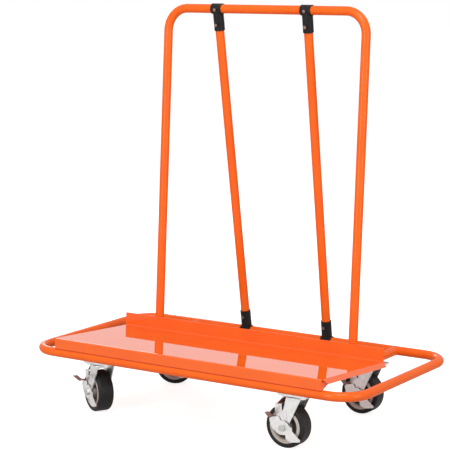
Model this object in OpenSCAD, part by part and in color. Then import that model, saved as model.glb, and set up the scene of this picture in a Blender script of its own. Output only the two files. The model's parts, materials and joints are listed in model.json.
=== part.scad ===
// Drywall cart: a round tube base loop on four braked swivel casters, a bent sheet deck that
// carries boards on edge, and a leaning U-frame held up by two clamped rear braces.
// X runs along the length, Y from the loading side to the back, Z up from the floor.

/* [Tubes] */
// Outside diameter of every frame tube
tube_d = 28; // [26:0.5:32]
// Wall of every frame tube
tube_wall = 2; // [1.5:0.1:2.5]

/* [Base loop] */
// Length between the centre lines of the end tubes
loop_l = 1150; // [1110:10:1300]
// Width between the centre lines of the front and back tubes
loop_w = 598; // [590:2:660]
// Bend radius of the corners at the centre line
loop_bend_r = 85; // [70:1:110]
// Distance of each cross member from the middle between the casters
cross_x = 368; // [362:1:380]
// Offset of the cross members and casters towards the right end
under_shift = 25; // [0:1:30]
// Diameter of the drain holes under the loop
drain_d = 8; // [5:0.5:10]

/* [Deck] */
// Length of the deck between its side creases
deck_l = 952; // [900:2:990]
// Thickness of the deck sheet
deck_t = 2; // [1.5:0.1:3]
// Height of the front crease above the loop's centre line
deck_front_h = 46; // [40:0.5:52]
// Height of the back crease above the loop's centre line
deck_back_h = 22; // [20:0.5:26]
// How far the front flange stands before the front tube's centre line
deck_lip = 8.6; // [6:0.2:10]
// Distance of the back crease from the front tube's centre line
deck_depth = 359; // [330:1:362]
// Height of the back panel above the back crease
panel_h = 42; // [30:1:50]
// Width of the sloped side flanges
side_flange_w = 17; // [12:0.5:22]
// Slope of the side flanges below the deck, in degrees
side_flange_slope = 45; // [30:1:60]
// Setback of the side flange's outer corner at the front
side_flange_cut = 18; // [10:1:30]
// Depth of the triangular corner tabs
corner_tab_depth = 40; // [20:1:60]
// Bend radius of the sheet at its middle
deck_bend_r = 4; // [3:0.5:6]
// Width of the saddle bars under the deck
support_w = 20; // [14:1:26]
// Length of the saddle bars under the deck
support_l = 110; // [60:1:160]

/* [Upright frame] */
// Distance of each upright from the middle of the length
upright_x = 358; // [350:1:366]
// Length of the legs from the loop's centre line to the top bar's centre line
frame_h = 1055; // [950:5:1200]
// Lean of the frame towards the back, in degrees
frame_lean = 3.6; // [2:0.1:5]
// Distance of the legs' feet from the front tube's centre line
frame_y = 381; // [381:1:400]
// Bend radius of the top corners at the centre line
frame_bend_r = 70; // [55:1:90]
// Length of the inner sleeve that joins the two halves
joiner_l = 160; // [100:5:240]
// Thickness of the plates that the sockets stand on
foot_plate_t = 5; // [4:0.5:6]
// Width of these plates across the cart
foot_plate_w = 32; // [28:1:32]
// Wall of the inner sleeve and of the sockets
sleeve_wall = 2.5; // [2:0.1:4]
// Height of the sockets along the legs
socket_l = 120; // [80:1:160]
// Height of the socket bolts along the legs
socket_bolt_h = 48; // [36:1:70]
// Diameter of the socket bolts
socket_bolt_d = 8; // [6:0.5:10]

/* [Braces] */
// Place of the left brace's foot along the length
brace_left_foot_x = -157; // [-180:1:-130]
// Place of the left brace's top along the length
brace_left_top_x = -172; // [-190:1:-140]
// Place of the right brace's foot along the length
brace_right_foot_x = 147; // [130:1:180]
// Place of the right brace's top along the length
brace_right_top_x = 152; // [140:1:190]
// Length of a clamp along the bar that it holds
clamp_w = 37; // [32:0.5:44]
// Length of a clamp's sleeve along the brace, from the bar's centre line
clamp_l = 68; // [56:1:84]
// Wall of a clamp
clamp_wall = 2.6; // [2:0.1:4]
// Gap between the two halves of a clamp
clamp_split = 1.6; // [1:0.1:2.5]
// Distance of the sleeve bolt from the bar's centre line
clamp_bolt_pitch = 49; // [40:1:56]
// Diameter of the clamp bolts
clamp_bolt_d = 6; // [5:0.5:8]

/* [Casters] */
// Height of a caster from the floor to the top of its plate
caster_h = 159; // [155:1:170]
// Distance of the swivel axes from the middle between the casters
caster_x = 349; // [340:1:360]
// Distance of the front swivel axes from the front tube's centre line
caster_front_y = 31; // [31:1:40]
// Distance of the rear swivel axes from the back tube's centre line
caster_rear_y = 127; // [100:1:180]
// Length of a caster plate along the cart
plate_l = 92; // [88:1:104]
// Width of a caster plate across the cart
plate_w = 64; // [60:1:72]
// Thickness of a caster plate
plate_t = 3; // [2.5:0.5:5]
// Thickness of the mounting plates under the tubes
mount_t = 3; // [2.5:0.5:6]
// Screw spacing along the plate
screw_pitch_l = 70; // [66:1:76]
// Screw spacing across the plate
screw_pitch_w = 44; // [40:1:48]
// Diameter of the plate screws
screw_d = 8; // [6:0.5:8]
// Kingpin diameter
kingpin_d = 12; // [10:0.5:16]
// Diameter of the swivel balls
ball_d = 6; // [5:0.5:6.5]
// Number of balls in a swivel
ball_count = 12; // [8:1:14]
// Radius of the ring of balls
ball_ring_r = 21; // [18:0.5:24]
// Offset of the axle behind the swivel axis
trail = 27; // [22:0.5:30]

/* [Wheels] */
// Wheel diameter over the tread
wheel_d = 127; // [122:1:128]
// Width of the tread
tread_w = 48; // [40:1:48]
// Diameter of the wheel core under the tread
core_d = 100; // [94:1:104]
// Diameter of the hub
hub_d = 34; // [28:1:40]
// Diameter of the axle bolt
axle_d = 12; // [10:0.5:14]

/* [Fork and brake] */
// Thickness of the fork
fork_t = 4; // [3:0.5:5]
// Free width between the fork's legs
fork_gap = 52; // [51:0.5:56]
// Diameter of the fork's crown
crown_d = 66; // [60:1:68]
// Thickness of the fork's crown
crown_t = 5; // [4:0.5:6]
// Width of a fork leg at the axle
leg_end_w = 26; // [22:1:32]
// Thickness of the brake plates
brake_t = 2; // [1.5:0.1:3]
// Width of the tongue on top of the brake housing
tongue_w = 44; // [24:1:48]
// Thickness of the brake pedal
pedal_t = 2.5; // [2:0.1:3]
// Length of the pedal's tab along its slope
tab_l = 27; // [22:1:36]
// Width of the pedal's tab
tab_w = 15; // [10:1:20]
// Thickness of the pedal's tab
tab_t = 7; // [5:0.5:9]
// Rise of the pedal's tab away from the wheel, in degrees
tab_rise = 43; // [30:1:55]

/* [Hidden] */
$fn = 64;

// Clearances and overruns
weld_gap = 0.2;
fit_gap = 0.15;
bolt_gap = 0.3;
run_gap = 0.05;
move_gap = 0.4;
foot_gap = 1.3;
overrun = 1;

// Heights and places worked out from the sizes above
tube_r = tube_d / 2;
tube_bore = tube_d - 2 * tube_wall;
loop_z = caster_h + mount_t + tube_r;
front_y = -loop_w / 2;
back_y = loop_w / 2;
foot_y = front_y + frame_y;
top_y = foot_y + frame_h * sin(frame_lean);
top_z = loop_z + frame_h * cos(frame_lean);
cross_left_x = under_shift - cross_x;
cross_right_x = under_shift + cross_x;
foot_plate_z = loop_z + tube_r + weld_gap;
foot_plate_over = 18;
socket_z = foot_plate_z + foot_plate_t + weld_gap;
leg_from = socket_z - loop_z + foot_gap;
sleeve_d = tube_bore - 2 * fit_gap;
sleeve_bore = sleeve_d - 2 * sleeve_wall;

// Deck section, on the middle of the sheet
lip_y = front_y - deck_lip;
lip_inner = deck_lip - deck_t / 2;
lip_z = loop_z + sqrt(tube_r * tube_r - lip_inner * lip_inner) + weld_gap;
crease_front_z = loop_z + deck_front_h - deck_t / 2;
crease_back_z = loop_z + deck_back_h - deck_t / 2;
crease_back_y = front_y + deck_depth;
deck_run = crease_back_y - lip_y;
deck_tilt = atan2(crease_front_z - crease_back_z, deck_run);
deck_slope_l = deck_run / cos(deck_tilt);
bend_steps = 6;
support_side_gap = 4;
crease_share = 0.9;

// Braces and clamps
brace_left = [brace_left_foot_x, brace_left_top_x];
brace_right = [brace_right_foot_x, brace_right_top_x];
braces = [brace_left, brace_right];
brace_lean = atan2(back_y - top_y, top_z - loop_z);
brace_span = (top_z - loop_z) / cos(brace_lean);
brace_end = tube_r + clamp_wall;
clamp_bore = tube_d + 2 * fit_gap;
clamp_d = clamp_bore + 2 * clamp_wall;
boss_d_share = 2.2;
boss_h = 1.5;
bolt_head_share = 1.7;
bolt_head_h_share = 0.6;
nut_share = 1.9;
nut_h_share = 0.8;
clamp_boss_y = clamp_d / 2 + boss_h;

// Casters
race_gap_share = 0.5;
wheel_r = wheel_d / 2;
axle_z = wheel_r;
plate_z = caster_h - plate_t;
race_gap = ball_d * race_gap_share;
race_z = plate_z - race_gap / 2;
crown_z = plate_z - race_gap;
kingpin_head_d = 2 * kingpin_d;
kingpin_head_h = kingpin_d / 2;
leg_out = fork_gap / 2 + fork_t;
housing_y = leg_out + weld_gap;
flap_y = housing_y + brake_t + move_gap;
lever_y = flap_y + pedal_t + weld_gap;
axle_seat_y = lever_y + brake_t + move_gap;
axle_head_share = 1.8;
axle_head_h_share = 0.6;
tread_round_share = 0.48;
tread_round = (wheel_d - core_d) / 2 * tread_round_share;
rim_share = 0.80;
web_share = 0.45;
core_side = 1;
core_step = 3;
lever_boss_share = 2.2;
leg_top_shift = 4;
screw_head_share = 1.6;
screw_head_h_share = 0.6;

// Rest direction of each caster about its kingpin, in degrees
swivel_front_left = -28;
swivel_front_right = 0;
swivel_rear_left = 20;
swivel_rear_right = -2;

// Outlines of the fork and brake pieces, from the axle, as shares of the wheel's radius
leg_top_share = 0.74;
housing_shares = [
  [-0.45, 1.02], [-0.09, 1.08], [-0.06, 0.78], [0.10, 0.80], [0.16, 0.66], [0.19, 0.20],
  [0.20, -0.20], [-0.20, -0.22], [-0.26, 0.30], [-0.36, 0.50], [-0.42, 0.58]
];
lever_shares = [
  [-0.68, 0.34], [-0.55, 0.43], [-0.20, 0.50], [-0.12, 0.33], [0.09, 0.33], [0.40, 0.09],
  [0.50, 0.07], [0.51, -0.10], [0.94, -0.46], [0.90, -0.54], [0.46, -0.62], [0.30, -0.57],
  [0.18, -0.48], [0.17, -0.32], [-0.12, -0.34], [-0.25, -0.29], [-0.38, -0.20], [-0.49, -0.12],
  [-0.61, 0.05], [-0.66, 0.22]
];
housing_bridge_shares = [[-0.42, 1.01], [-0.14, 1.055]];
tongue_shares = [[-0.42, 1.01], [-0.15, 1.30]];
flap_shares = [[-0.62, 0.20], [-0.46, 0.20], [-0.46, 0.52], [-0.62, 0.52]];
tab_x_share = -0.54;
tab_foot_share = 0.455;
tab_web_share = 0.52;

// Colours
orange = [1.0, 0.38, 0.08];
zinc = [0.78, 0.79, 0.80];
black = [0.10, 0.10, 0.11];
beige = [0.80, 0.74, 0.68];
maroon = [0.42, 0.22, 0.20];

// A round bar along X or Y, centred, and a pipe that stands on its end
module bar_x(l, d) {
  rotate([0, 90, 0])
    cylinder(h = l, d = d, center = true);
}
module bar_y(l, d) {
  rotate([90, 0, 0])
    cylinder(h = l, d = d, center = true);
}
module pipe(l, d, bore) {
  difference() {
    cylinder(h = l, d = d);
    translate([0, 0, -overrun])
      cylinder(h = l + 2 * overrun, d = bore);
  }
}

// A quarter bend about Z, from +X to +Y
module bend(r, d) {
  rotate_extrude(angle = 90)
    translate([r, 0])
      circle(d = d);
}

// The base loop's centre line as a round bar of any diameter
module loop_bar(d) {
  for (side = [-1, 1]) {
    translate([0, side * loop_w / 2, 0])
      bar_x(loop_l - 2 * loop_bend_r, d);
    translate([side * loop_l / 2, 0, 0])
      bar_y(loop_w - 2 * loop_bend_r, d);
  }
  for (mx = [0, 1], my = [0, 1])
    mirror([mx, 0, 0])
      mirror([0, my, 0])
        translate([loop_l / 2 - loop_bend_r, loop_w / 2 - loop_bend_r, 0])
          bend(loop_bend_r, d);
}

module base_loop() {
  color(orange)
    difference() {
      translate([0, 0, loop_z])
        loop_bar(tube_d);
      translate([0, 0, loop_z])
        loop_bar(tube_bore);
      for (side = [-1, 1])
        translate([side * loop_l / 2, 0, loop_z - tube_d])
          cylinder(h = tube_d, d = drain_d);
      for (b = braces)
        at_foot_clamp(b)
          bar_y(2 * tube_d, clamp_bolt_d + 2 * bolt_gap);
    }
}

// A tube from the front tube to the back tube, coped to both
module cross_member(x) {
  color(orange)
    difference() {
      translate([x, 0, loop_z])
        bar_y(loop_w, tube_d);
      translate([x, 0, loop_z])
        bar_y(loop_w + 2 * overrun, tube_bore);
      for (y = [front_y, back_y])
        translate([x, y, loop_z])
          bar_x(2 * tube_d, tube_d + 2 * weld_gap);
    }
}

// A strip of sheet along a path in the plane, with round joints
module sheet_path(path, t) {
  for (i = [0 : len(path) - 2]) {
    step = path[i + 1] - path[i];
    translate(path[i])
      rotate(atan2(step[1], step[0]))
        translate([0, -t / 2])
          square([norm(step), t]);
  }
  for (i = [1 : len(path) - 2])
    translate(path[i])
      circle(d = t);
}

// The points of a rounded corner at b, between a and c
function unit(v) = v / norm(v);
function corner_arc(a, b, c, r) =
  let (u = unit(a - b), v = unit(c - b))
  let (half = acos(u * v) / 2)
  let (centre = b + unit(u + v) * r / sin(half))
  let (start = b + u * r / tan(half) - centre)
  let (turn = sign(u[0] * v[1] - u[1] * v[0]) * -(180 - 2 * half))
  [for (i = [0 : bend_steps])
    let (w = turn * i / bend_steps)
    centre + [start[0] * cos(w) - start[1] * sin(w), start[0] * sin(w) + start[1] * cos(w)]];

// The deck's section in Y and Z: front flange, flat deck, back panel
deck_corners = [
  [lip_y, lip_z],
  [lip_y, crease_front_z],
  [crease_back_y, crease_back_z],
  [crease_back_y + panel_h * sin(deck_tilt), crease_back_z + panel_h * cos(deck_tilt)]
];
deck_path = concat(
  [deck_corners[0]],
  corner_arc(deck_corners[0], deck_corners[1], deck_corners[2], deck_bend_r),
  corner_arc(deck_corners[1], deck_corners[2], deck_corners[3], deck_bend_r),
  [deck_corners[3]]
);

// The deck's own tilted frame: Y back along the deck from the front crease, Z off the deck
module on_deck() {
  translate([0, lip_y, crease_front_z])
    rotate([-deck_tilt, 0, 0])
      children();
}

module deck_side_flange() {
  crease_from = deck_bend_r + deck_t;
  crease_to = deck_slope_l - deck_t;
  on_deck()
    translate([deck_l / 2, 0, 0])
      rotate([0, side_flange_slope, 0])
        translate([0, 0, -deck_t / 2])
          linear_extrude(deck_t)
            polygon([
              [0, crease_from],
              [side_flange_w, side_flange_cut],
              [side_flange_w, crease_to],
              [0, crease_to]
            ]);
  on_deck()
    translate([deck_l / 2, (crease_from + crease_to) / 2, 0])
      bar_y(crease_to - crease_from - 2 * deck_t, deck_t * crease_share);
}

module deck_corner_tab() {
  translate([deck_l / 2, 0, 0])
    rotate([0, -90, 0])
      linear_extrude(deck_t)
        polygon([
          [lip_z, lip_y],
          [crease_front_z - deck_bend_r, lip_y],
          [(lip_z + crease_front_z - deck_bend_r) / 2, lip_y + corner_tab_depth]
        ]);
}

module deck() {
  color(orange)
    union() {
      translate([-deck_l / 2, 0, 0])
        rotate([90, 0, 90])
          linear_extrude(deck_l)
            sheet_path(deck_path, deck_t);
      for (mx = [0, 1])
        mirror([mx, 0, 0]) {
          deck_side_flange();
          deck_corner_tab();
        }
    }
}

// A saddle bar on each cross member, cut to the deck's slope and kept inside its side creases
module deck_supports() {
  support_back_y = crease_back_y - 2 * deck_bend_r;
  side_x = deck_l / 2 - support_side_gap;
  color(orange)
    for (x = [cross_left_x, cross_right_x])
      difference() {
        translate([x - support_w / 2, support_back_y - support_l, loop_z])
          cube([support_w, support_l, tube_d + deck_front_h]);
        translate([x, 0, loop_z])
          bar_y(2 * loop_w, tube_d + 2 * weld_gap);
        translate([x, 0, -deck_t / 2 - weld_gap])
          on_deck()
            translate([-support_w, 0, 0])
              cube([2 * support_w, deck_slope_l, 2 * tube_d]);
        for (mx = [0, 1])
          mirror([mx, 0, 0])
            translate([side_x, front_y, loop_z - tube_d])
              cube([loop_l, loop_w, deck_front_h + 3 * tube_d]);
      }
}

// The upright frame's own leaning frame, with its origin between the feet
module on_frame() {
  translate([0, foot_y, loop_z])
    rotate([-frame_lean, 0, 0])
      children();
}

// The right half of the upright frame's centre line as a round bar of any diameter
module frame_half(d, from, over) {
  leg_l = frame_h - frame_bend_r - from;
  translate([upright_x, 0, from])
    cylinder(h = leg_l, d = d);
  translate([upright_x - frame_bend_r, 0, frame_h - frame_bend_r])
    rotate([90, 0, 0])
      bend(frame_bend_r, d);
  translate([-over, 0, frame_h])
    rotate([0, 90, 0])
      cylinder(h = upright_x - frame_bend_r + over, d = d);
}

module upright(side, b) {
  color(orange)
    difference() {
      on_frame()
        mirror([side < 0 ? 1 : 0, 0, 0])
          difference() {
            frame_half(tube_d, leg_from, 0);
            frame_half(tube_bore, 0, overrun);
            translate([upright_x, 0, socket_bolt_h])
              bar_x(2 * tube_d, socket_bolt_d + 2 * bolt_gap);
          }
      at_top_clamp(b)
        bar_y(2 * tube_d, clamp_bolt_d + 2 * bolt_gap);
    }
}

module top_bar_joiner() {
  color(zinc)
    on_frame()
      translate([-joiner_l / 2, 0, frame_h])
        rotate([0, 90, 0])
          pipe(joiner_l, sleeve_d, sleeve_bore);
}

// A plate on each cross member, under the upright's foot
module foot_plates() {
  color(orange)
    for (x = [[-upright_x, cross_left_x], [upright_x, cross_right_x]])
      translate([min(x) - foot_plate_over, foot_y - foot_plate_w / 2, foot_plate_z])
        cube([max(x) - min(x) + 2 * foot_plate_over, foot_plate_w, foot_plate_t]);
}

// A spigot on the foot plate, which the upright's foot slides over
module socket(side) {
  color(zinc)
    difference() {
      on_frame()
        translate([side * upright_x, 0, 0])
          difference() {
            pipe(socket_l, sleeve_d, sleeve_bore);
            translate([0, 0, socket_bolt_h])
              bar_x(2 * tube_d, socket_bolt_d + 2 * bolt_gap);
          }
      translate([side * upright_x - tube_d, foot_y - tube_d, socket_z - 2 * tube_d])
        cube(2 * tube_d);
    }
}

module socket_bolts() {
  head_h = socket_bolt_d * bolt_head_h_share;
  nut_h = socket_bolt_d * nut_h_share;
  seat = tube_r + weld_gap;
  color(zinc)
    for (mx = [0, 1])
      mirror([mx, 0, 0])
        on_frame()
          translate([upright_x, 0, socket_bolt_h])
            rotate([0, 90, 0]) {
              translate([0, 0, seat])
                cylinder(h = head_h, d = socket_bolt_d * nut_share, $fn = 6);
              translate([0, 0, -seat - nut_h])
                cylinder(h = seat + nut_h + seat, d = socket_bolt_d);
              translate([0, 0, -seat - nut_h])
                pipe_hex(nut_h, socket_bolt_d * nut_share, socket_bolt_d + 2 * run_gap);
            }
}

module pipe_hex(h, d, bore) {
  difference() {
    cylinder(h = h, d = d, $fn = 6);
    translate([0, 0, -overrun])
      cylinder(h = h + 2 * overrun, d = bore);
  }
}

// A clamp's own frame: X along the bar, Z up to the other bar, or down to it at the top
module at_foot_clamp(b) {
  translate([b[0], back_y, loop_z])
    rotate([brace_lean, 0, 0])
      children();
}
module at_top_clamp(b) {
  translate([b[1], top_y, top_z])
    rotate([brace_lean, 0, 0])
      mirror([0, 0, 1])
        children();
}

// Turns a clamp's frame until Z runs along the brace
function slant(b) = atan2(b[1] - b[0], brace_span);
module on_brace(slope) {
  rotate([0, slope, 0])
    children();
}

module brace(b) {
  brace_l = brace_span / cos(slant(b));
  color(orange)
    at_foot_clamp(b)
      on_brace(slant(b))
        difference() {
          translate([0, 0, brace_end])
            pipe(brace_l - 2 * brace_end, tube_d, tube_bore);
          for (z = [clamp_bolt_pitch, brace_l - clamp_bolt_pitch])
            translate([0, 0, z])
              bar_y(2 * tube_d, clamp_bolt_d + 2 * bolt_gap);
        }
}

// One half of a clamp: a ring round the bar and a sleeve round the brace, with two bolt bosses
module clamp_half(side, slope) {
  boss_d = clamp_bolt_d * boss_d_share;
  difference() {
    union() {
      bar_x(clamp_w, clamp_d);
      on_brace(slope) {
        cylinder(h = clamp_l, d = clamp_d);
        for (z = [0, clamp_bolt_pitch])
          translate([0, side * clamp_boss_y / 2, z])
            bar_y(clamp_boss_y, boss_d);
      }
    }
    bar_x(clamp_w + 2 * overrun, clamp_bore);
    on_brace(slope) {
      cylinder(h = clamp_l + overrun, d = clamp_bore);
      for (z = [0, clamp_bolt_pitch])
        translate([0, 0, z])
          bar_y(2 * clamp_d, clamp_bolt_d + 2 * bolt_gap);
    }
    translate([-clamp_w, side > 0 ? clamp_split / 2 - clamp_d : -clamp_split / 2, -clamp_d])
      cube([2 * clamp_w, clamp_d, clamp_l + 2 * clamp_d]);
  }
}

module clamp_foot(b, side) {
  color(black)
    at_foot_clamp(b)
      clamp_half(side, slant(b));
}
module clamp_top(b, side) {
  color(black)
    at_top_clamp(b)
      clamp_half(side, -slant(b));
}

// Places something at both bolts of every clamp, in the clamp's frame
module at_clamp_bolts() {
  for (b = braces, z = [0, clamp_bolt_pitch]) {
    at_foot_clamp(b)
      on_brace(slant(b))
        translate([0, 0, z])
          children();
    at_top_clamp(b)
      on_brace(-slant(b))
        translate([0, 0, z])
          children();
  }
}

module clamp_bolts() {
  head_h = clamp_bolt_d * bolt_head_h_share;
  nut_h = clamp_bolt_d * nut_h_share;
  seat = clamp_boss_y + run_gap;
  color(zinc)
    at_clamp_bolts()
      rotate([90, 0, 0]) {
        translate([0, 0, -seat - nut_h])
          cylinder(h = 2 * seat + nut_h, d = clamp_bolt_d);
        translate([0, 0, seat])
          cylinder(h = head_h, d = clamp_bolt_d * bolt_head_share);
      }
}

module clamp_nuts() {
  nut_h = clamp_bolt_d * nut_h_share;
  seat = clamp_boss_y + run_gap;
  color(zinc)
    at_clamp_bolts()
      rotate([90, 0, 0])
        translate([0, 0, -seat - nut_h])
          pipe_hex(nut_h, clamp_bolt_d * nut_share, clamp_bolt_d + 2 * run_gap);
}

// Each caster's swivel axis in X and Y, and its rest direction
front_axis_y = front_y + caster_front_y;
rear_axis_y = back_y - caster_rear_y;
left_axis_x = under_shift - caster_x;
right_axis_x = under_shift + caster_x;
front_left = [left_axis_x, front_axis_y, swivel_front_left];
front_right = [right_axis_x, front_axis_y, swivel_front_right];
rear_left = [left_axis_x, rear_axis_y, swivel_rear_left];
rear_right = [right_axis_x, rear_axis_y, swivel_rear_right];
casters = [front_left, front_right, rear_left, rear_right];

// Places something at the four screws of a plate
module at_plate_screws() {
  for (sx = [-1, 1], sy = [-1, 1])
    translate([sx * screw_pitch_l / 2, sy * screw_pitch_w / 2, 0])
      children();
}

module plate_blank(t) {
  translate([-plate_l / 2, -plate_w / 2, 0])
    cube([plate_l, plate_w, t]);
}

module caster_mounts() {
  color(zinc)
    for (caster = casters)
      translate([caster[0], caster[1], caster_h + weld_gap])
        difference() {
          plate_blank(mount_t - 2 * weld_gap);
          translate([0, 0, -overrun])
            at_plate_screws()
              cylinder(h = mount_t + 2 * overrun, d = screw_d + 2 * run_gap);
        }
}

module caster_screws() {
  head_h = screw_d * screw_head_h_share;
  color(zinc)
    for (caster = casters)
      translate([caster[0], caster[1], plate_z - run_gap])
        at_plate_screws() {
          translate([0, 0, -head_h])
            cylinder(h = head_h, d = screw_d * screw_head_share, $fn = 6);
          cylinder(h = plate_t + mount_t, d = screw_d);
        }
}

module caster_plate(caster) {
  color(zinc)
    translate([caster[0], caster[1], 0])
      difference() {
        translate([0, 0, plate_z])
          plate_blank(plate_t);
        translate([0, 0, plate_z - overrun])
          cylinder(h = plate_t + 2 * overrun, d = kingpin_d + 2 * run_gap);
        translate([0, 0, plate_z - overrun])
          at_plate_screws()
            cylinder(h = plate_t + 2 * overrun, d = screw_d + 2 * bolt_gap);
        ball_race();
      }
}

// The groove that the balls run in, cut into the plate above and the crown below
module ball_race() {
  translate([0, 0, race_z])
    rotate_extrude()
      translate([ball_ring_r, 0])
        circle(d = ball_d + 2 * move_gap);
}

module swivel_balls() {
  color(zinc)
    for (caster = casters, i = [0 : ball_count - 1])
      translate([caster[0], caster[1], race_z])
        rotate([0, 0, 360 * i / ball_count])
          translate([ball_ring_r, 0, 0])
            sphere(d = ball_d, $fn = 32);
}

module kingpins() {
  head_z = crown_z - crown_t - move_gap;
  color(zinc)
    for (caster = casters)
      translate([caster[0], caster[1], head_z]) {
        cylinder(h = caster_h - head_z, d = kingpin_d);
        translate([0, 0, -kingpin_head_h])
          cylinder(h = kingpin_head_h, d = kingpin_head_d);
      }
}

// A caster's turning frame: Z up the swivel axis from the floor, with the axle behind at -X
module at_swivel(caster) {
  translate([caster[0], caster[1], 0])
    rotate([0, 0, caster[2]])
      children();
}
module at_axle() {
  translate([-trail, 0, axle_z])
    children();
}

// A plate on edge in the wheel's plane: an outline in X and Z, from one side to the other
module edge_plate(from, t) {
  translate([0, from + t, 0])
    rotate([90, 0, 0])
      linear_extrude(t)
        children();
}

// Draws its plates on both sides of the wheel
module both_sides() {
  for (my = [0, 1])
    mirror([0, my, 0])
      children();
}

module leg_outline() {
  leg_top = crown_z - crown_t / 2 - axle_z;
  polygon([
    [-leg_end_w / 2, 0],
    [leg_end_w / 2, 0],
    [trail + leg_top_shift + wheel_r * leg_top_share / 2, leg_top],
    [trail + leg_top_shift - wheel_r * leg_top_share / 2, leg_top]
  ]);
  circle(d = leg_end_w);
}

module fork(caster) {
  color(zinc)
    at_swivel(caster)
      difference() {
        union() {
          translate([0, 0, crown_z - crown_t])
            cylinder(h = crown_t, d = crown_d);
          at_axle()
            both_sides()
              edge_plate(fork_gap / 2, fork_t)
                leg_outline();
        }
        at_axle()
          bar_y(2 * leg_out + 2 * overrun, axle_d + 2 * bolt_gap);
        translate([0, 0, crown_z - crown_t - overrun])
          cylinder(h = crown_t + 2 * overrun, d = kingpin_d + 2 * run_gap);
        ball_race();
      }
}

// The head is on the lever's side, the nut against the other side of the brake housing
module axle(caster) {
  head_h = axle_d * axle_head_h_share;
  nut_h = axle_d * nut_h_share;
  nut_seat_y = housing_y + brake_t + run_gap;
  color(zinc)
    at_swivel(caster)
      at_axle()
        rotate([90, 0, 0]) {
          translate([0, 0, -nut_seat_y - nut_h])
            cylinder(h = axle_seat_y + nut_seat_y + nut_h, d = axle_d);
          translate([0, 0, axle_seat_y])
            cylinder(h = head_h, d = axle_d * axle_head_share, $fn = 6);
          translate([0, 0, -nut_seat_y - nut_h])
            pipe_hex(nut_h, axle_d * axle_head_share, axle_d + 2 * run_gap);
        }
}

// A rounded rectangle in the wheel's half section, from an inner to an outer radius
module ring_section(r_in, r_out, w, round_r) {
  translate([r_in, -w / 2])
    square([r_out - r_in - round_r, w]);
  translate([r_in, -w / 2 + round_r])
    square([r_out - r_in, w - 2 * round_r]);
  for (s = [-1, 1])
    translate([r_out - round_r, s * (w / 2 - round_r)])
      circle(r = round_r);
}

module tyre(caster) {
  color(black)
    at_swivel(caster)
      at_axle()
        rotate([90, 0, 0])
          rotate_extrude($fn = 96)
            ring_section(core_d / 2 + run_gap, wheel_r, tread_w, tread_round);
}

// Hub, web and rim, with a step on each face of the rim
module core_section() {
  bore_r = axle_d / 2 + run_gap;
  hub_w = fork_gap - 2 * move_gap;
  rim_w = tread_w - 2 * core_side;
  rim_in = core_d / 2 * rim_share;
  translate([bore_r, -hub_w / 2])
    square([hub_d / 2 - bore_r, hub_w]);
  translate([bore_r, -rim_w * web_share / 2])
    square([core_d / 2 - bore_r, rim_w * web_share]);
  translate([rim_in, -rim_w / 2])
    square([core_d / 2 - rim_in, rim_w]);
  translate([rim_in - core_step, -rim_w / 2 + core_step])
    square([core_step, rim_w - 2 * core_step]);
}

module wheel_core(caster) {
  color(beige)
    at_swivel(caster)
      at_axle()
        rotate([90, 0, 0])
          rotate_extrude($fn = 96)
            core_section();
}

// Two side plates over the fork's legs, a bridge between them and a tongue up to the swivel
module brake_housing(caster) {
  color(zinc)
    at_swivel(caster)
      at_axle()
        difference() {
          union() {
            both_sides()
              edge_plate(housing_y, brake_t)
                polygon(wheel_r * housing_shares);
            edge_plate(-housing_y - brake_t / 2, 2 * housing_y + brake_t)
              sheet_path(wheel_r * housing_bridge_shares, brake_t);
            edge_plate(-tongue_w / 2, tongue_w)
              sheet_path(wheel_r * tongue_shares, brake_t);
          }
          bar_y(2 * axle_seat_y, axle_d + 2 * bolt_gap);
        }
}

// A plate with a tail beside the wheel, on a boss that turns on the axle
module brake_lever(caster) {
  color(zinc)
    at_swivel(caster)
      at_axle()
        difference() {
          union() {
            edge_plate(-lever_y - brake_t, brake_t)
              polygon(wheel_r * lever_shares);
            edge_plate(-lever_y - brake_t / 2, lever_y + brake_t / 2 - flap_y)
              circle(d = axle_d * lever_boss_share);
          }
          bar_y(2 * axle_seat_y, axle_d + 2 * run_gap);
        }
}

// A flap behind the lever's upper edge, with a foot tab that stands out over it
module brake_pedal(caster) {
  tab_foot_y = lever_y + brake_t;
  tab_foot_z = wheel_r * tab_foot_share;
  web_z = wheel_r * tab_web_share;
  flap_mid_y = flap_y + pedal_t / 2;
  tab_out = tab_l * cos(tab_rise);
  tab_up = tab_l * sin(tab_rise);
  color(maroon)
    at_swivel(caster)
      at_axle() {
        edge_plate(-flap_y - pedal_t, pedal_t)
          polygon(wheel_r * flap_shares);
        translate([wheel_r * tab_x_share - tab_t / 2, 0, 0])
          rotate([90, 0, 90])
            linear_extrude(tab_t)
              polygon([
                [-flap_mid_y, tab_foot_z],
                [-tab_foot_y - tab_w, tab_foot_z],
                [-tab_foot_y - tab_w - tab_out, tab_foot_z + tab_up],
                [-tab_foot_y - tab_out, tab_foot_z + tab_up],
                [-tab_foot_y - (web_z - tab_foot_z) / tan(tab_rise), web_z],
                [-flap_mid_y, web_z]
              ]);
      }
}

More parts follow.
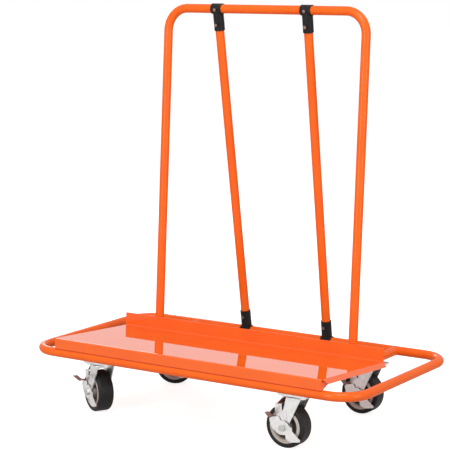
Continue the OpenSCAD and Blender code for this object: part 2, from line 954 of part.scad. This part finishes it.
base_loop();
cross_member(cross_left_x);  // cross_member_left
cross_member(cross_right_x);  // cross_member_right
deck();
deck_supports();
upright(-1, brace_left);  // upright_left
upright(1, brace_right);  // upright_right
top_bar_joiner();
foot_plates();
socket(-1);  // socket_left
socket(1);  // socket_right
socket_bolts();
brace(brace_left);
brace(brace_right);
clamp_top(brace_left, -1);  // clamp_top_left_front
clamp_top(brace_left, 1);  // clamp_top_left_back
clamp_top(brace_right, -1);  // clamp_top_right_front
clamp_top(brace_right, 1);  // clamp_top_right_back
clamp_foot(brace_left, -1);  // clamp_foot_left_front
clamp_foot(brace_left, 1);  // clamp_foot_left_back
clamp_foot(brace_right, -1);  // clamp_foot_right_front
clamp_foot(brace_right, 1);  // clamp_foot_right_back
clamp_bolts();
clamp_nuts();
caster_mounts();
caster_screws();
kingpins();
swivel_balls();
caster_plate(front_left);  // caster_plate_front_left
fork(front_left);  // fork_front_left
axle(front_left);  // axle_front_left
tyre(front_left);  // tyre_front_left
wheel_core(front_left);  // wheel_core_front_left
brake_housing(front_left);  // brake_housing_front_left
brake_lever(front_left);  // brake_lever_front_left
brake_pedal(front_left);  // brake_pedal_front_left
caster_plate(front_right);  // caster_plate_front_right
fork(front_right);  // fork_front_right
axle(front_right);  // axle_front_right
tyre(front_right);  // tyre_front_right
wheel_core(front_right);  // wheel_core_front_right
brake_housing(front_right);  // brake_housing_front_right
brake_lever(front_right);  // brake_lever_front_right
brake_pedal(front_right);  // brake_pedal_front_right
caster_plate(rear_left);  // caster_plate_rear_left
fork(rear_left);  // fork_rear_left
axle(rear_left);  // axle_rear_left
tyre(rear_left);  // tyre_rear_left
wheel_core(rear_left);  // wheel_core_rear_left
brake_housing(rear_left);  // brake_housing_rear_left
brake_lever(rear_left);  // brake_lever_rear_left
brake_pedal(rear_left);  // brake_pedal_rear_left
caster_plate(rear_right);  // caster_plate_rear_right
fork(rear_right);  // fork_rear_right
axle(rear_right);  // axle_rear_right
tyre(rear_right);  // tyre_rear_right
wheel_core(rear_right);  // wheel_core_rear_right
brake_housing(rear_right);  // brake_housing_rear_right
brake_lever(rear_right);  // brake_lever_rear_right
brake_pedal(rear_right);  // brake_pedal_rear_right
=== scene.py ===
"""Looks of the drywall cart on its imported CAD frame: materials, weld beads, studio and camera."""
import json
import math
import random

import bmesh
import bpy
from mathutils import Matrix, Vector


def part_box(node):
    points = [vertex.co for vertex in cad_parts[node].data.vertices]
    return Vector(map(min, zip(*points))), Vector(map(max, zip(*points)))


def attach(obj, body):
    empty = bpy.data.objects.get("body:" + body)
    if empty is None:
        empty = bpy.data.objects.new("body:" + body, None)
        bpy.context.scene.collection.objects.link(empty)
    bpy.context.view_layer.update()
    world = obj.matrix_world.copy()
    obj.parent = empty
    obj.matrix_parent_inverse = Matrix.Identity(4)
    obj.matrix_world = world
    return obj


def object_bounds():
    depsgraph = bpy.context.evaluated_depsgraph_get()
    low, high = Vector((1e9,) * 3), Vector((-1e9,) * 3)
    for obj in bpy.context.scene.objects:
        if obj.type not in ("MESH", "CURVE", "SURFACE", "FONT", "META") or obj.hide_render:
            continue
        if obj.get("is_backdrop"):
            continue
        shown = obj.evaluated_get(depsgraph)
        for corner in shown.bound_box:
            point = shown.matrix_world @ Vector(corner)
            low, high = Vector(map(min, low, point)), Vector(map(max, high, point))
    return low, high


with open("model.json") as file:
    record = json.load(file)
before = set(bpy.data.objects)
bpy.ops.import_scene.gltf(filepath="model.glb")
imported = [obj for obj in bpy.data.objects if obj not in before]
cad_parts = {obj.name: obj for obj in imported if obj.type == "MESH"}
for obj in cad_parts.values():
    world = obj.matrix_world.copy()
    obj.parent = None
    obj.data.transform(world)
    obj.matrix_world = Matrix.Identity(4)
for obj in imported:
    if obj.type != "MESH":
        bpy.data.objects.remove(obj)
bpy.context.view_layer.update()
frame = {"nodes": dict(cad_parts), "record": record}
nodes = frame["nodes"]
CORNERS = ("front_left", "front_right", "rear_left", "rear_right")

# Places on the cart that the materials follow, in metres
LIP_Z = 0.18796  # lower edge of the deck's front flange
LIP_SHADE = (0.0018, 0.0030)  # heights above that edge between which its shade fades
FLANGE_Y = -0.295  # the deck in front of this is its front flange
# radii of a wheel core's hub and rim, between which its recess gets painted shade
HUB_R, HUB_FADE = 0.017, 0.002
RIM_R, RIM_FADE = 0.040, 0.004
HOUSING_IN = 0.030  # inner faces of a brake housing's side plates, from the wheel's middle
MOULD_LINE = (0.0003, 0.0007)  # where the tread's mould line starts and stops to fall
RING_TURNS = 3600.0  # fine rings on a tyre's side, in radians a metre

# Colours, lowest and highest of each material's drift
ORANGE = (0.91, 0.124, 0.008), (0.96, 0.142, 0.010)
CREAM = (0.50, 0.44, 0.40), (0.60, 0.53, 0.48)
PEDAL_RED = (0.20, 0.095, 0.085), (0.27, 0.135, 0.120)
# dull red for a brake housing's bridge and tongue, painted shade and painted reflection of the orange
# tube
HOUSING_SHADE_RED = (0.34, 0.17, 0.15), (0.44, 0.22, 0.20)
BRIGHT_ZINC = (0.70, 0.70, 0.69), (0.84, 0.84, 0.83)
# dark pinkish zinc for the clamp bolts and nuts, a painted reflection of the orange frame around them
REFLECTION_TINTED_ZINC = (0.20, 0.125, 0.105), (0.34, 0.22, 0.19)
# zinc for the axle heads, darker than the rest as painted shade for their shaded side
SHADED_AXLE_ZINC = (0.48, 0.48, 0.475), (0.64, 0.64, 0.635)
# painted shade along the deck flange's lowest edge, where it meets the tube
PAINTED_LIP_SHADE = (0.60, 0.050, 0.004)
# painted shade in a wheel core's recess between hub and rim
RECESS_SHADE_COLOUR = (0.075, 0.056, 0.045)
TYRE_BLACK, CLAMP_BLACK, BLACK_DRIFT = 0.014, 0.011, 0.25

# Scales of the noise patterns, in cells a metre, and other shader values
DRIFT_SCALE, GLOSS_SCALE, PEEL_SCALE, RIPPLE_SCALE = 9.0, 38.0, 620.0, 7.0
CLOUD_SCALE, GRAIN_SCALE = 60.0, (900.0, 900.0, 60.0)
SOOT_SCALE, PORE_SCALE = 90.0, 900.0
ZINC_METALLIC = 0.9
ZINC_ROUGH = (0.26, 0.40)
DECK_COAT_IOR = 1.45

# Edges and welds, in metres
EDGE_WIDTH, EDGE_ANGLE = 0.0005, math.radians(35)
BEAD_R, BEAD_SIDES, BEAD_STEPS = 0.0016, 10, 96
BEAD_MEAN, BEAD_RIPPLE, BEAD_UNEVEN = 0.85, 0.22, 0.06
SEAM_ROUND = 0.004  # keeps the seam's two tips from being sharp

# Studio and camera
FLOOR_SIZE, FLOOR_GREY, FLOOR_ROUGH = 60, 0.62, 0.9
FLOOR_SEEN, FLOOR_MIRRORED = 0.82, 0.25
SKY_LIGHT, SKY_SEEN = 0.40, 1.0
CAMERA_AZIMUTH, CAMERA_ELEVATION, CAMERA_DISTANCE = 33.3, 8.9, 5.1119
CAMERA_TARGET = Vector((-0.048, 0, 0.5734))
SENSOR_MM, LENS_MM = 36.0, 132.83
CLIP_START, CLIP_END = 0.05, 200


# Small helpers for node trees
def new_material(name):
    material = bpy.data.materials.new(name)
    material.use_nodes = True
    tree = material.node_tree
    return material, tree, tree.nodes["Principled BSDF"]


def feed(tree, socket, value):
    """Links a socket to another, or sets it to a constant."""
    if isinstance(value, bpy.types.NodeSocket):
        tree.links.new(value, socket)
    else:
        socket.default_value = value


def put(tree, kind, **values):
    """Adds a node; a value whose name is a socket goes into it, and any other is a setting."""
    node = tree.nodes.new(kind)
    for key, value in values.items():
        if key in node.inputs:
            feed(tree, node.inputs[key], value)
        else:
            setattr(node, key, value)
    return node


def object_place(tree):
    """Place on the cart in metres, because every object sits at the origin."""
    return put(tree, "ShaderNodeTexCoord").outputs["Object"]


def ramp(tree, factor, low, high, start=0.3, end=0.7):
    node = put(tree, "ShaderNodeValToRGB", Fac=factor)
    first, last = node.color_ramp.elements
    first.position, first.color = start, (*low, 1)
    last.position, last.color = end, (*high, 1)
    return node.outputs["Color"]


def span(tree, value, low, high, start=0.3, end=0.7):
    node = put(tree, "ShaderNodeMapRange", Value=value)
    node.inputs["From Min"].default_value = start
    node.inputs["From Max"].default_value = end
    node.inputs["To Min"].default_value = low
    node.inputs["To Max"].default_value = high
    return node.outputs["Result"]


def noise(tree, scale, detail=2.0, vector=None):
    if vector is None:
        vector = object_place(tree)
    node = put(tree, "ShaderNodeTexNoise", Vector=vector, Scale=scale, Detail=detail)
    return node.outputs["Fac"]


def bump(tree, height, strength, distance):
    return put(tree, "ShaderNodeBump", Height=height, Strength=strength, Distance=distance)


def math_node(tree, operation, *values):
    node = put(tree, "ShaderNodeMath", operation=operation)
    for socket, value in zip(node.inputs, values):
        feed(tree, socket, value)
    return node.outputs["Value"]


def vector_node(tree, operation, a, b=None, scale=None):
    node = put(tree, "ShaderNodeVectorMath", operation=operation)
    for socket, value in ((node.inputs[0], a), (node.inputs[1], b), (node.inputs[3], scale)):
        if value is not None:
            feed(tree, socket, value)
    return node.outputs["Value" if operation in ("DOT_PRODUCT", "LENGTH") else "Vector"]


def about_axle(tree, joint):
    """Distance from a wheel's axle line, and place along it from the wheel's middle."""
    away = vector_node(tree, "SUBTRACT", object_place(tree), joint["pos_m"])
    along = vector_node(tree, "DOT_PRODUCT", away, joint["axis"])
    on_line = vector_node(tree, "SCALE", joint["axis"], scale=along)
    radius = vector_node(tree, "LENGTH", vector_node(tree, "SUBTRACT", away, on_line))
    return radius, along


def ray_kinds(tree):
    """Whether a ray comes from the camera, straight or through glass, and whether from a mirror."""
    path = put(tree, "ShaderNodeLightPath").outputs
    by_eye = math_node(tree, "MAXIMUM", path["Is Camera Ray"], path["Is Transmission Ray"])
    return by_eye, path["Is Glossy Ray"]


def tint(material, factor, colour):
    """Mixes another colour over a material's own, by a factor."""
    tree = material.node_tree
    base = tree.nodes["Principled BSDF"].inputs["Base Color"]
    own = base.links[0].from_socket
    node = put(tree, "ShaderNodeMix", data_type="RGBA")
    tree.links.new(factor, node.inputs["Factor"])
    first, second = [socket for socket in node.inputs if socket.type == "RGBA"]
    feed(tree, first, own)
    feed(tree, second, colour if isinstance(colour, bpy.types.NodeSocket) else (*colour, 1))
    tree.links.new([socket for socket in node.outputs if socket.type == "RGBA"][0], base)


# Materials
def paint(name, colours, rough, shine, coat, coat_rough, peel, ripple=0.0):
    """Powder coat: slight colour drift, orange peel, and long ripples where the sheet isn't flat."""
    material, tree, shader = new_material(name)
    drift = noise(tree, DRIFT_SCALE, 3.0)
    tree.links.new(ramp(tree, drift, *colours), shader.inputs["Base Color"])
    gloss = noise(tree, GLOSS_SCALE, 4.0)
    tree.links.new(span(tree, gloss, *rough), shader.inputs["Roughness"])
    shader.inputs["Specular IOR Level"].default_value = shine
    shader.inputs["Coat Weight"].default_value = coat
    shader.inputs["Coat Roughness"].default_value = coat_rough
    peel_bump = bump(tree, noise(tree, PEEL_SCALE), peel, 0.0004)
    if ripple:
        ripple_bump = bump(tree, noise(tree, RIPPLE_SCALE, 1.0), ripple, 0.01)
        tree.links.new(ripple_bump.outputs["Normal"], peel_bump.inputs["Normal"])
    tree.links.new(peel_bump.outputs["Normal"], shader.inputs["Normal"])
    return material


def zinc(name, colours, rough):
    """Zinc plate: cloudy colour, with the fine upright grain of drawn steel."""
    material, tree, shader = new_material(name)
    streak = put(tree, "ShaderNodeMapping", Vector=object_place(tree), Scale=GRAIN_SCALE)
    grain = noise(tree, 1.0, 3.0, streak.outputs["Vector"])
    cloud = noise(tree, CLOUD_SCALE, 3.0)
    tree.links.new(ramp(tree, cloud, *colours), shader.inputs["Base Color"])
    shader.inputs["Metallic"].default_value = ZINC_METALLIC
    tree.links.new(span(tree, grain, *rough), shader.inputs["Roughness"])
    tree.links.new(bump(tree, grain, 0.08, 0.0002).outputs["Normal"], shader.inputs["Normal"])
    return material


def rough_black(name, level, shine):
    """Black with soft clouds and fine pores."""
    material, tree, shader = new_material(name)
    pores = noise(tree, PORE_SCALE, 3.0)
    low, high = (level * (1 - BLACK_DRIFT),) * 3, (level * (1 + BLACK_DRIFT),) * 3
    tree.links.new(ramp(tree, noise(tree, SOOT_SCALE), low, high), shader.inputs["Base Color"])
    tree.links.new(span(tree, pores, 0.38, 0.55), shader.inputs["Roughness"])
    shader.inputs["Specular IOR Level"].default_value = shine
    tree.links.new(bump(tree, pores, 0.25, 0.0004).outputs["Normal"], shader.inputs["Normal"])
    return material


def deck_paint():
    """High gloss, with painted shade along the lowest edge of the front flange, where it meets the
    tube.
    """
    material = paint("orange_gloss_deck", ORANGE, (0.30, 0.36), shine=0.0,
                     coat=1.0, coat_rough=0.03, peel=0.02, ripple=0.012)
    tree = material.node_tree
    tree.nodes["Principled BSDF"].inputs["Coat IOR"].default_value = DECK_COAT_IOR
    place = put(tree, "ShaderNodeSeparateXYZ", Vector=object_place(tree))
    fade_from, fade_to = (LIP_Z + height for height in LIP_SHADE)
    lip_shade_mask = span(tree, place.outputs["Z"], 1.0, 0.0, fade_from, fade_to)
    in_front = math_node(tree, "LESS_THAN", place.outputs["Y"], FLANGE_Y)
    # paints shade along the flange's lowest edge, fading out between 1.8 and 3 mm above it
    tint(material, math_node(tree, "MULTIPLY", lip_shade_mask, in_front), PAINTED_LIP_SHADE)
    return material


def core(name, joint):
    """Cream moulded wheel core with painted shade in the recess between hub and rim."""
    material = paint(name, CREAM, (0.40, 0.55), shine=0.3, coat=0.0, coat_rough=0.3, peel=0.05)
    tree = material.node_tree
    radius, _ = about_axle(tree, joint)
    past_hub = span(tree, radius, 0.0, 1.0, HUB_R, HUB_R + HUB_FADE)
    before_rim = span(tree, radius, 1.0, 0.0, RIM_R - RIM_FADE, RIM_R)
    # paints shade in the recess, from just past the hub to just before the rim
    tint(material, math_node(tree, "MULTIPLY", past_hub, before_rim), RECESS_SHADE_COLOUR)
    return material


def tyre(name, joint):
    """Smooth rubber with a mould line round the middle of the tread and fine rings on the sides."""
    material = rough_black(name, TYRE_BLACK, 0.2)
    tree = material.node_tree
    radius, along = about_axle(tree, joint)
    line = span(tree, math_node(tree, "ABSOLUTE", along), 1.0, 0.0, *MOULD_LINE)
    rings = math_node(tree, "SINE", math_node(tree, "MULTIPLY", radius, RING_TURNS))
    height = math_node(tree, "ADD", line, math_node(tree, "MULTIPLY", rings, 0.12))
    mould = bump(tree, height, 0.5, 0.0006)
    pore_bump = tree.nodes["Principled BSDF"].inputs["Normal"].links[0].from_node
    tree.links.new(mould.outputs["Normal"], pore_bump.inputs["Normal"])
    return material


def housing(name, joint):
    """Zinc side plates; the bridge and tongue between them get a dull red, non-metallic colour as
    painted shade and painted reflection of the orange tube.
    """
    material = zinc(name, BRIGHT_ZINC, ZINC_ROUGH)
    tree = material.node_tree
    _, along = about_axle(tree, joint)
    between = math_node(tree, "LESS_THAN", math_node(tree, "ABSOLUTE", along), HOUSING_IN)
    # paints shade and the orange tube's reflection on everything between the side plates
    tint(material, between, ramp(tree, noise(tree, DRIFT_SCALE, 3.0), *HOUSING_SHADE_RED))
    metallic = math_node(tree, "MULTIPLY_ADD", between, -ZINC_METALLIC, ZINC_METALLIC)
    tree.links.new(metallic, tree.nodes["Principled BSDF"].inputs["Metallic"])
    return material


by_slot = {
    "orange_paint": paint("orange_powder_coat", ORANGE, (0.34, 0.42), shine=0.0,
                          coat=0.42, coat_rough=0.16, peel=0.04),
    "deck_paint": deck_paint(),
    "black_clamp": rough_black("black_clamp_coat", CLAMP_BLACK, 0.18),
    "zinc": zinc("bright_zinc", BRIGHT_ZINC, ZINC_ROUGH),
    "pedal": paint("dark_red_coat", PEDAL_RED, (0.32, 0.48), shine=0.4,
                   coat=0.1, coat_rough=0.3, peel=0.15),
}
reflection_tinted_zinc = zinc("reflection_tinted_zinc", REFLECTION_TINTED_ZINC, (0.34, 0.46))
shaded_axle_zinc = zinc("shaded_axle_zinc", SHADED_AXLE_ZINC, (0.30, 0.44))
# the clamp bolts and nuts carry a painted reflection of the orange frame
by_node = {"clamp_bolts": reflection_tinted_zinc, "clamp_nuts": reflection_tinted_zinc}
joints = {joint["name"]: joint for joint in frame["record"]["behaviour"]["joints"]}
for corner in CORNERS:
    roll = joints["roll_" + corner]
    # axle heads in darker zinc, as painted shade
    by_node["axle_" + corner] = shaded_axle_zinc
    by_node["wheel_core_" + corner] = core("cream_core_" + corner, roll)
    by_node["tyre_" + corner] = tyre("tread_rubber_" + corner, roll)
    by_node["brake_housing_" + corner] = housing("zinc_housing_" + corner, roll)

# Each node's material, and softened edges on the bent and cut pieces
slots = {part["node"]: part["material_slot"] for part in frame["record"]["subparts"]}
for name, node in nodes.items():
    node.data.materials.clear()
    node.data.materials.append(by_node.get(name) or by_slot[slots[name]])
    edge = node.modifiers.new("edge", "BEVEL")
    edge.width, edge.segments = EDGE_WIDTH, 2
    edge.limit_method, edge.angle_limit = "ANGLE", EDGE_ANGLE
    edge.harden_normals = True


# Weld beads where the cross members meet the front and back tubes
def bead(name, path, seed):
    """A closed bead along a path, with the small ripples of a hand weld."""
    rng = random.Random(seed)
    mesh = bmesh.new()
    rings = []
    for i, point in enumerate(path):
        ahead = (path[(i + 1) % len(path)] - path[i - 1]).normalized()
        side = ahead.orthogonal().normalized()
        other = ahead.cross(side)
        ripple = BEAD_RIPPLE * math.sin(i * math.pi / 2)
        size = BEAD_R * (BEAD_MEAN + ripple + rng.uniform(-BEAD_UNEVEN, BEAD_UNEVEN))
        ring = []
        for k in range(BEAD_SIDES):
            turn = 2 * math.pi * k / BEAD_SIDES
            ring.append(mesh.verts.new(point + size * (math.cos(turn) * side + math.sin(turn) * other)))
        rings.append(ring)
    for ring, following in zip(rings, rings[1:] + rings[:1]):
        # The next ring may start at another turn, so it is joined from its nearest point
        start = min(range(BEAD_SIDES), key=lambda k: (following[k].co - ring[0].co).length)
        for k in range(BEAD_SIDES):
            n = (k + 1) % BEAD_SIDES
            beside, across = following[(start + k) % BEAD_SIDES], following[(start + n) % BEAD_SIDES]
            mesh.faces.new((ring[k], ring[n], across, beside))
    bmesh.ops.recalc_face_normals(mesh, faces=mesh.faces)
    data = bpy.data.meshes.new(name)
    mesh.to_mesh(data)
    mesh.free()
    for face in data.polygons:
        face.use_smooth = True
    data.materials.append(by_slot["orange_paint"])
    piece = bpy.data.objects.new(name, data)
    bpy.context.scene.collection.objects.link(piece)
    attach(piece, "frame")


loop_low, loop_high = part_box("base_loop")
for side in ("left", "right"):
    low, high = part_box("cross_member_" + side)
    tube_r = (high[0] - low[0]) / 2
    middle_x, middle_z = (low[0] + high[0]) / 2, (low[2] + high[2]) / 2
    for end, tube_y, way in (("front", loop_low[1] + tube_r, 1), ("back", loop_high[1] - tube_r, -1)):
        seam = []
        for i in range(BEAD_STEPS):
            turn = 2 * math.pi * i / BEAD_STEPS
            across, up = tube_r * math.cos(turn), tube_r * math.sin(turn)
            reach = tube_r * math.sqrt(math.cos(turn) ** 2 + SEAM_ROUND)
            seam.append(Vector((middle_x + across, tube_y + way * reach, middle_z + up)))
        bead("weld_bead_%s_%s" % (side, end), seam, side + end)

# Floor: grey enough to keep a faint shadow, and white to the camera
bpy.ops.mesh.primitive_plane_add(size=FLOOR_SIZE, location=(0, 0, 0))
floor = bpy.context.object
floor.name = "studio_floor"
material, tree, shader = new_material("studio_floor_white")
shader.inputs["Base Color"].default_value = (FLOOR_GREY, FLOOR_GREY, FLOOR_GREY, 1)
shader.inputs["Roughness"].default_value = FLOOR_ROUGH
shader.inputs["Specular IOR Level"].default_value = 0.0
by_eye, by_mirror = ray_kinds(tree)
seen = math_node(tree, "MULTIPLY", by_eye, FLOOR_SEEN)
mirrored = math_node(tree, "MULTIPLY", by_mirror, FLOOR_MIRRORED)
shader.inputs["Emission Color"].default_value = (1, 1, 1, 1)
tree.links.new(math_node(tree, "ADD", seen, mirrored), shader.inputs["Emission Strength"])
floor.data.materials.append(material)
floor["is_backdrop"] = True


# Lamps, by azimuth from the front towards +X, elevation and distance
def around(azimuth, elevation, distance):
    a, e = math.radians(azimuth), math.radians(elevation)
    return distance * Vector((math.sin(a) * math.cos(e), -math.cos(a) * math.cos(e), math.sin(e)))


def area(name, place, aim_z, width, height, power):
    lamp = bpy.data.lights.new(name, "AREA")
    lamp.shape, lamp.size, lamp.size_y, lamp.energy = "RECTANGLE", width, height, power
    holder = bpy.data.objects.new(name, lamp)
    holder.location = place
    holder.rotation_euler = (Vector((0, 0, aim_z)) - place).to_track_quat("-Z", "Y").to_euler()
    bpy.context.scene.collection.objects.link(holder)


area("top", around(30, 58, 4.5), aim_z=0.4, width=2.0, height=2.0, power=88)
area("front", around(-11, 18, 5.0), aim_z=0.5, width=1.6, height=2.9, power=72)
area("right", around(79, 18, 5.0), aim_z=0.5, width=1.6, height=2.9, power=56)
area("back", around(230, 24, 5.0), aim_z=0.4, width=1.6, height=1.6, power=50)

# World: soft light on the object, plain white to the camera and in reflections
world = bpy.data.worlds.new("studio_world")
bpy.context.scene.world = world
world.use_nodes = True
tree = world.node_tree
tree.nodes.clear()
seen = math_node(tree, "MAXIMUM", *ray_kinds(tree))
soft = put(tree, "ShaderNodeBackground", Color=(1, 1, 1, 1), Strength=SKY_LIGHT)
white = put(tree, "ShaderNodeBackground", Color=(1, 1, 1, 1), Strength=SKY_SEEN)
both = put(tree, "ShaderNodeMixShader", Fac=seen)
tree.links.new(soft.outputs["Background"], both.inputs[1])
tree.links.new(white.outputs["Background"], both.inputs[2])
put(tree, "ShaderNodeOutputWorld", Surface=both.outputs["Shader"])

# Camera at the photo's viewing angle
lens = bpy.data.cameras.new("camera")
lens.sensor_width, lens.lens = SENSOR_MM, LENS_MM
lens.clip_start, lens.clip_end = CLIP_START, CLIP_END
camera = bpy.data.objects.new("camera", lens)
back = around(CAMERA_AZIMUTH, CAMERA_ELEVATION, CAMERA_DISTANCE)
camera.location = CAMERA_TARGET + back
camera.rotation_mode = "QUATERNION"
camera.rotation_quaternion = (-back).to_track_quat("-Z", "Y")
bpy.context.scene.collection.objects.link(camera)
bpy.context.scene.camera = camera
bpy.context.scene.view_settings.view_transform = "Standard"

low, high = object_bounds()
